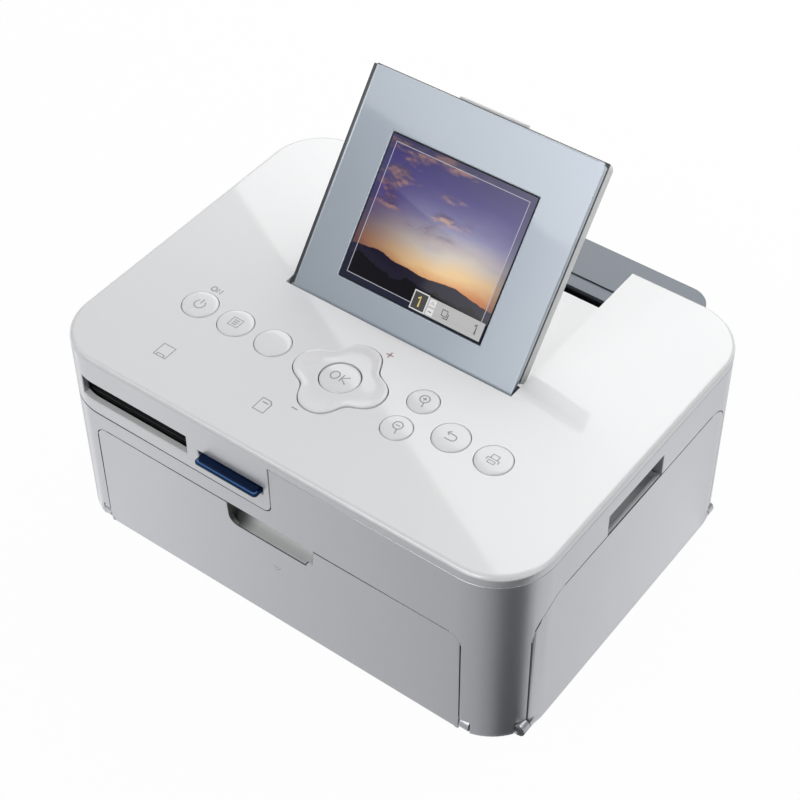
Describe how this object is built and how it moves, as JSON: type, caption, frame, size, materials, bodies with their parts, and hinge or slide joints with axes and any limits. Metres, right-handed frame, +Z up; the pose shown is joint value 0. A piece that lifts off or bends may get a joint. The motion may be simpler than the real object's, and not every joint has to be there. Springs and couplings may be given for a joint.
{
  "type": "compact photo printer",
  "caption": "Compact photo printer with a tilting display, a row of keys round a direction pad, card slots, a front paper door and a side ink door.",
  "frame": {"origin": "centre of the footprint of the bounding box, on the surface that the feet stand on", "axes": "+X to the printer's right as a user faces it, +Y to its rear, +Z up"},
  "size_m": [0.1766, 0.1482, 0.1328],
  "materials": {
    "cover_white": "gloss white moulding",
    "shell_grey": "satin silver-grey moulding",
    "rear_grey": "satin blue-grey moulding",
    "bezel_silver": "gloss silver-blue moulding",
    "screen_glass": "clear screen over the picture",
    "dark_plastic": "satin",
    "card_blue": "satin",
    "key_white": "gloss",
    "steel": "zinc plated sheet",
    "aluminium": "extruded",
    "rubber": "moulded",
    "board_green": "solder mask",
    "gear_white": "acetal",
    "ribbon_film": "film"
  },
  "bodies": {
    "casing": {"bottom_case": "shell_grey", "body_shell": "shell_grey", "top_cover": "cover_white", "rear_cover": "rear_grey", "rubber_feet": "rubber", "case_screws": "steel", "key_board": "board_green", "key_switches": "steel", "main_board": "board_green", "cf_card_connector": "dark_plastic", "sd_card_connector": "steel", "power_board": "board_green", "dc_inlet": "dark_plastic", "usb_socket": "steel", "left_side_plate": "steel", "right_side_plate": "steel", "cassette_rails": "shell_grey", "paper_guide": "dark_plastic", "shaft_bushes": "gear_white", "drive_motor": "steel", "ink_cassette": "dark_plastic", "ink_ribbon": "ribbon_film", "head_pivot_shaft": "steel", "board_screws": "steel"},
    "paper_door": {"front_door": "shell_grey"},
    "ink_door": {"ink_door": "shell_grey"},
    "display": {"lcd_bezel": "bezel_silver", "lcd_window": "screen_glass", "lcd_module": "dark_plastic", "lcd_back_shell": "cover_white", "lcd_hinge_barrel": "dark_plastic"},
    "power_key": {"power_key": "key_white"},
    "menu_key": {"menu_key": "key_white"},
    "edit_key": {"edit_key": "key_white"},
    "zoom_in_key": {"zoom_in_key": "key_white"},
    "zoom_out_key": {"zoom_out_key": "key_white"},
    "back_key": {"back_key": "key_white"},
    "print_key": {"print_key": "key_white"},
    "ok_key": {"ok_key": "key_white"},
    "pad_ring": {"pad_rubber": "rubber"},
    "direction_pad": {"direction_pad": "key_white"},
    "memory_card": {"memory_card": "card_blue"},
    "capstan": {"capstan_roller": "steel", "capstan_gear": "gear_white"},
    "feed_roller": {"feed_roller": "rubber", "feed_gear": "gear_white"},
    "pinch_roller": {"pinch_roller": "rubber"},
    "platen_roller": {"platen_roller": "rubber"},
    "motor_pinion": {"motor_pinion": "steel"},
    "motor_idler": {"motor_idler": "gear_white"},
    "ribbon_idler": {"ribbon_idler": "gear_white"},
    "take_up": {"take_up_gear": "gear_white", "take_up_spool": "dark_plastic"},
    "supply": {"supply_spool": "dark_plastic"},
    "head": {"thermal_head": "aluminium", "head_arm": "steel"}
  },
  "joints": [
    {"name": "display_tilt", "type": "hinge", "parent": "casing", "child": "display", "pos_m": [0, -0.00365, 0.072], "axis": [1, 0, 0], "range_deg": [-52.1, 7.9]},
    {"name": "paper_door_hinge", "type": "hinge", "parent": "casing", "child": "paper_door", "pos_m": [0, -0.0687, 0.0035], "axis": [1, 0, 0], "range_deg": [0, 90]},
    {"name": "ink_door_hinge", "type": "hinge", "parent": "casing", "child": "ink_door", "pos_m": [0.0859, -0.0048, 0.0035], "axis": [0, 1, 0], "range_deg": [0, 85]},
    {"name": "power_press", "type": "slide", "parent": "casing", "child": "power_key", "axis": [0, 0, -1], "range_m": [0, 0.0005], "stiffness_N_per_m": 600, "springref_m": -0.0003},
    {"name": "menu_press", "type": "slide", "parent": "casing", "child": "menu_key", "axis": [0, 0, -1], "range_m": [0, 0.0005], "stiffness_N_per_m": 600, "springref_m": -0.0003},
    {"name": "edit_press", "type": "slide", "parent": "casing", "child": "edit_key", "axis": [0, 0, -1], "range_m": [0, 0.0005], "stiffness_N_per_m": 600, "springref_m": -0.0003},
    {"name": "zoom_in_press", "type": "slide", "parent": "casing", "child": "zoom_in_key", "axis": [0, 0, -1], "range_m": [0, 0.0005], "stiffness_N_per_m": 600, "springref_m": -0.0003},
    {"name": "zoom_out_press", "type": "slide", "parent": "casing", "child": "zoom_out_key", "axis": [0, 0, -1], "range_m": [0, 0.0005], "stiffness_N_per_m": 600, "springref_m": -0.0003},
    {"name": "back_press", "type": "slide", "parent": "casing", "child": "back_key", "axis": [0, 0, -1], "range_m": [0, 0.0005], "stiffness_N_per_m": 600, "springref_m": -0.0003},
    {"name": "print_press", "type": "slide", "parent": "casing", "child": "print_key", "axis": [0, 0, -1], "range_m": [0, 0.0005], "stiffness_N_per_m": 600, "springref_m": -0.0003},
    {"name": "ok_press", "type": "slide", "parent": "casing", "child": "ok_key", "axis": [0, 0, -1], "range_m": [0, 0.0005], "stiffness_N_per_m": 600, "springref_m": -0.0003},
    {"name": "pad_tilt_up_down", "type": "hinge", "parent": "casing", "child": "pad_ring", "pos_m": [-0.0024, -0.0321, 0.0733], "axis": [1, 0, 0], "range_deg": [-2, 2], "stiffness_Nm_per_rad": 0.03},
    {"name": "pad_tilt_left_right", "type": "hinge", "parent": "pad_ring", "child": "direction_pad", "pos_m": [-0.0024, -0.0321, 0.0733], "axis": [0, 1, 0], "range_deg": [-2, 2], "stiffness_Nm_per_rad": 0.03},
    {"name": "card_slide", "type": "slide", "parent": "casing", "child": "memory_card", "axis": [0, -1, 0], "range_m": [0, 0.02]},
    {"name": "capstan_spin", "type": "hinge", "parent": "casing", "child": "capstan", "pos_m": [0, 0.0012, 0.0268], "axis": [1, 0, 0], "continuous": true},
    {"name": "feed_roller_spin", "type": "hinge", "parent": "casing", "child": "feed_roller", "pos_m": [0, -0.0269, 0.0399], "axis": [1, 0, 0], "continuous": true},
    {"name": "motor_spin", "type": "hinge", "parent": "casing", "child": "motor_pinion", "pos_m": [0, 0.04317, 0.0152], "axis": [1, 0, 0], "continuous": true},
    {"name": "motor_idler_spin", "type": "hinge", "parent": "casing", "child": "motor_idler", "pos_m": [0, 0.02623, 0.01669], "axis": [1, 0, 0], "continuous": true},
    {"name": "ribbon_idler_spin", "type": "hinge", "parent": "casing", "child": "ribbon_idler", "pos_m": [0, -0.00856, 0.05015], "axis": [1, 0, 0], "continuous": true},
    {"name": "take_up_spin", "type": "hinge", "parent": "casing", "child": "take_up", "pos_m": [0, 0.0062, 0.0475], "axis": [1, 0, 0], "continuous": true},
    {"name": "supply_spin", "type": "hinge", "parent": "casing", "child": "supply", "pos_m": [0, 0.0352, 0.0475], "axis": [1, 0, 0], "continuous": true},
    {"name": "pinch_spin", "type": "hinge", "parent": "casing", "child": "pinch_roller", "pos_m": [0, 0.0012, 0.0334], "axis": [1, 0, 0], "continuous": true},
    {"name": "platen_spin", "type": "hinge", "parent": "casing", "child": "platen_roller", "pos_m": [0, 0.0207, 0.0234], "axis": [1, 0, 0], "continuous": true},
    {"name": "head_press", "type": "hinge", "parent": "casing", "child": "head", "pos_m": [0, 0.0477, 0.056], "axis": [1, 0, 0], "range_deg": [0, 2], "stiffness_Nm_per_rad": 0.4, "springref_deg": -8.59}
  ],
  "couplings": [
    {"joint": "feed_roller_spin", "follows": "capstan_spin", "ratio": -1.2143},
    {"joint": "motor_idler_spin", "follows": "capstan_spin", "ratio": -1.7},
    {"joint": "motor_spin", "follows": "capstan_spin", "ratio": 2.4286},
    {"joint": "ribbon_idler_spin", "follows": "capstan_spin", "ratio": 2.4286},
    {"joint": "take_up_spin", "follows": "capstan_spin", "ratio": -2.125}
  ]
}
